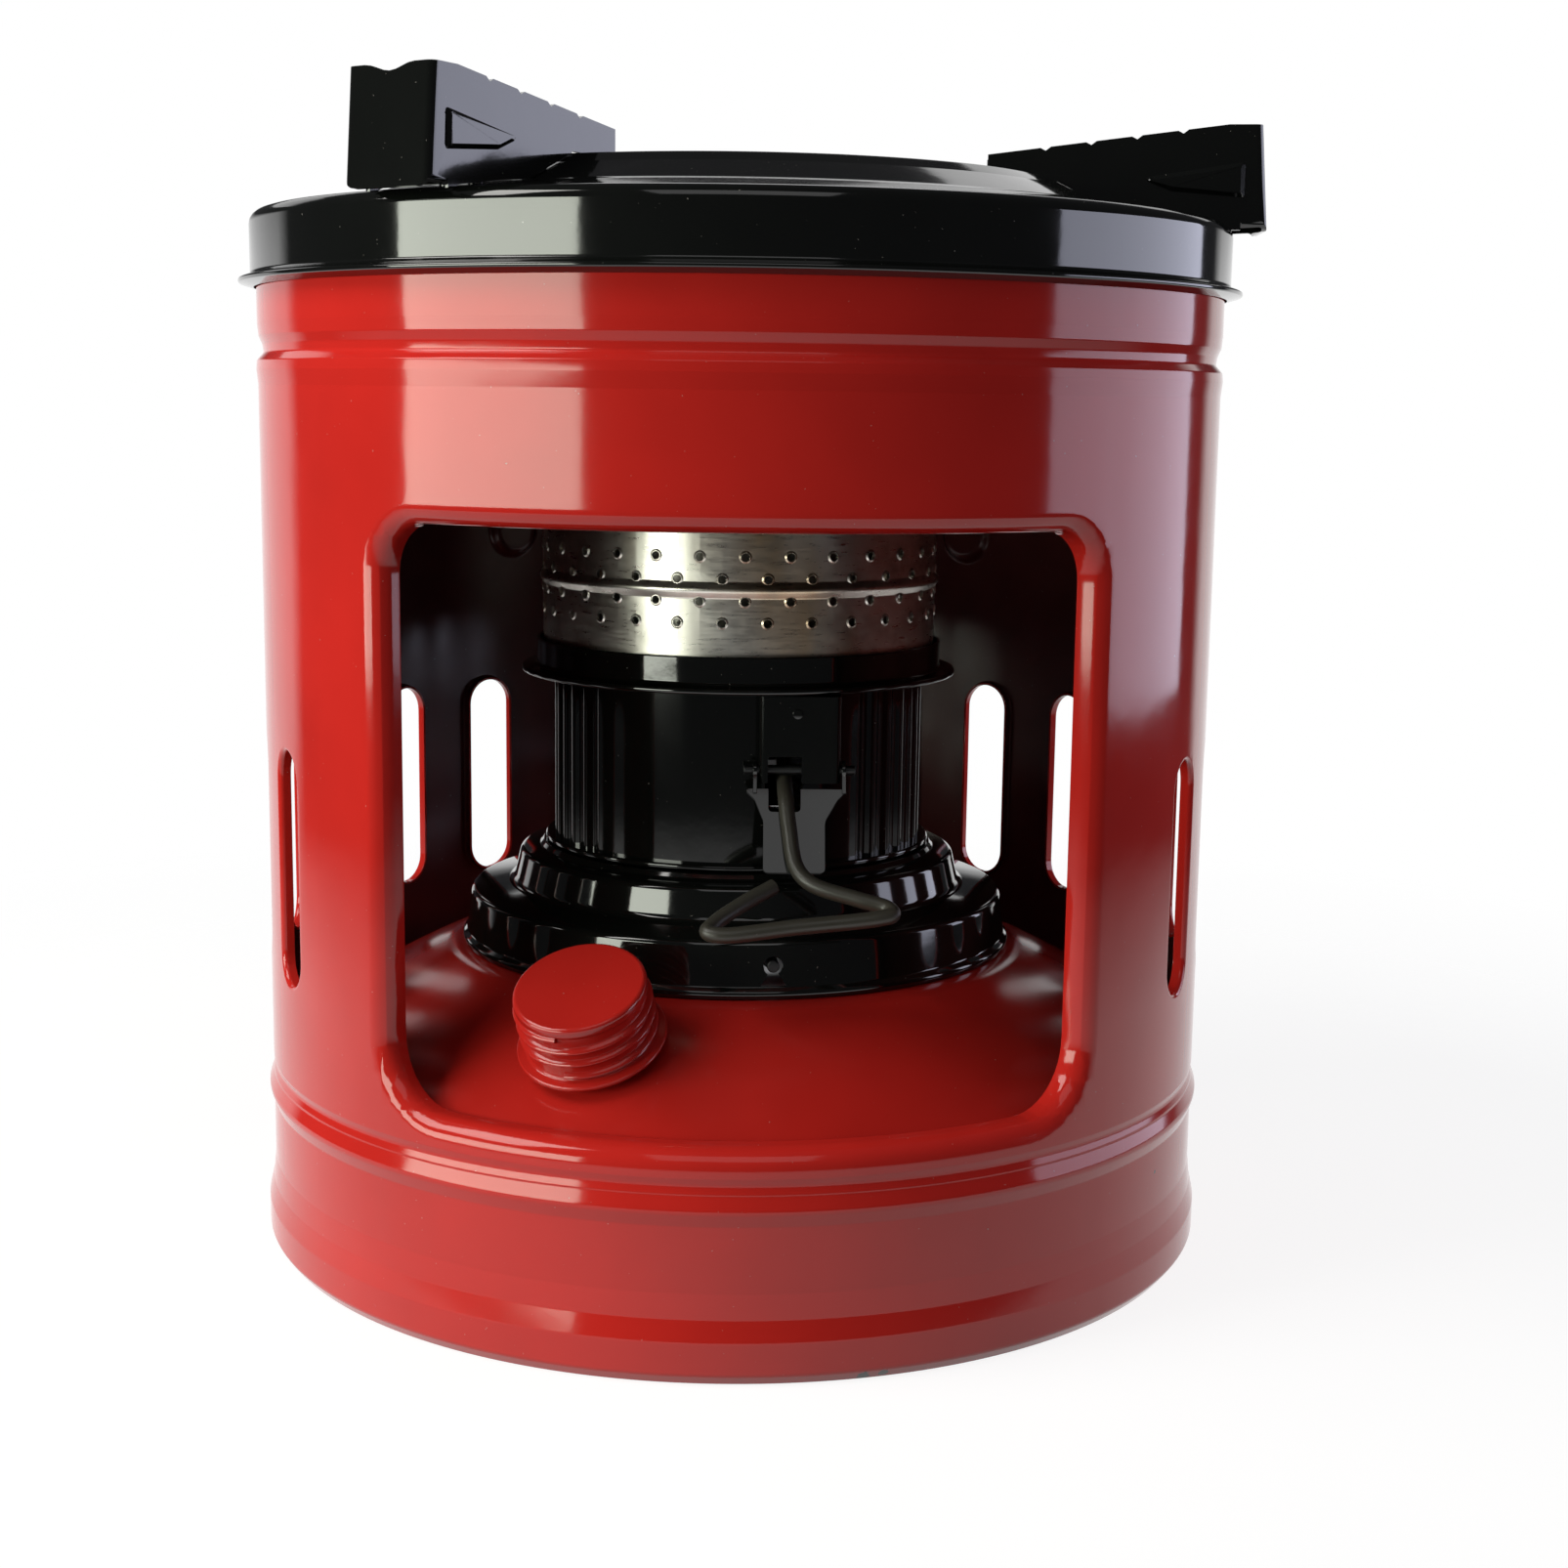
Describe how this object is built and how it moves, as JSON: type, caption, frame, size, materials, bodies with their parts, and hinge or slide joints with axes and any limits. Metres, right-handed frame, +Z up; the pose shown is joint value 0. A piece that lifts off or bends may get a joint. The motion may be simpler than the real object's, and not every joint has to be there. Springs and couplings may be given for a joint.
{
  "type": "kerosene wick stove",
  "caption": "Enamelled sheet-steel drum stove with a front window, air slots, a domed fuel tank, a lever-raised wick burner and a lift-off cover with pot supports.",
  "frame": {"origin": "centre of the flat underside of the tank pan, on the drum's axis", "axes": "+Z up the drum's axis, -Y out through the window, +X to the right as the window is faced"},
  "size_m": [0.2211, 0.2166, 0.2436],
  "materials": {
    "red_enamel": "glossy stove enamel",
    "black_enamel": "glossy stove enamel",
    "tinplate": "bright tinplate with a warm heat tint",
    "zinc_steel": "satin zinc plate",
    "gasket_rubber": "matte",
    "wick_cotton": "braided cotton"
  },
  "bodies": {
    "stove_body": {"casing": "red_enamel", "tank_top": "red_enamel", "tank_bottom": "red_enamel", "filler_neck": "red_enamel", "wick_guide_plate": "zinc_steel", "base_stud_1": "zinc_steel", "base_stud_2": "zinc_steel", "base_stud_3": "zinc_steel", "burner_base": "black_enamel", "wick_case": "black_enamel", "burner_seat": "black_enamel", "wick_tube_plate": "tinplate", "lever_housing": "black_enamel"},
    "cover": {"top_cover": "black_enamel", "pot_support_1": "black_enamel", "pot_support_2": "black_enamel", "pot_support_3": "black_enamel", "support_rivet_1": "black_enamel", "support_rivet_2": "black_enamel", "support_rivet_3": "black_enamel", "support_rivet_4": "black_enamel", "support_rivet_5": "black_enamel", "support_rivet_6": "black_enamel"},
    "lever": {"lever_yoke": "black_enamel", "lever_pin": "zinc_steel", "lever_wire": "black_enamel"},
    "wick_set": {"wick_carrier": "zinc_steel", "wick_clamp": "zinc_steel", "wick_1": "wick_cotton", "wick_2": "wick_cotton", "wick_3": "wick_cotton", "wick_4": "wick_cotton", "wick_5": "wick_cotton", "wick_6": "wick_cotton", "wick_7": "wick_cotton", "wick_8": "wick_cotton", "wick_9": "wick_cotton", "wick_10": "wick_cotton"},
    "burner_head": {"outer_sleeve": "tinplate", "outer_flame_tube": "tinplate", "inner_flame_tube": "tinplate", "flame_spreader": "tinplate", "cross_pin_1": "zinc_steel", "cross_pin_2": "zinc_steel", "cross_pin_3": "zinc_steel"},
    "cap_liner": {"cap_gasket": "gasket_rubber"},
    "cap": {"filler_cap": "red_enamel"}
  },
  "joints": [
    {"name": "lever_pivot", "type": "hinge", "parent": "stove_body", "child": "lever", "pos_m": [0.0129, -0.044, 0.109], "axis": [-1, 0, 0], "range_deg": [0, 50]},
    {"name": "wick_lift", "type": "slide", "parent": "stove_body", "child": "wick_set", "axis": [0, 0, 1], "range_m": [-0.0154, 0]},
    {"name": "burner_lift", "type": "slide", "parent": "stove_body", "child": "burner_head", "axis": [0, 0, 1], "range_m": [0, 0.11]},
    {"name": "cover_lift", "type": "slide", "parent": "stove_body", "child": "cover", "axis": [0, 0, 1], "range_m": [0, 0.03]},
    {"name": "cap_lift", "type": "slide", "parent": "stove_body", "child": "cap_liner", "axis": [-0.1627, -0.4238, 0.891], "range_m": [0, 0.0121]},
    {"name": "cap_turn", "type": "hinge", "parent": "cap_liner", "child": "cap", "pos_m": [-0.02795, -0.07282, 0.05698], "axis": [-0.1627, -0.4238, 0.891], "range_deg": [0, 1440]}
  ],
  "couplings": [
    {"joint": "wick_lift", "follows": "lever_pivot", "m_per_rad": -0.0175},
    {"joint": "cap_lift", "follows": "cap_turn", "m_per_rad": 0.00047746}
  ]
}
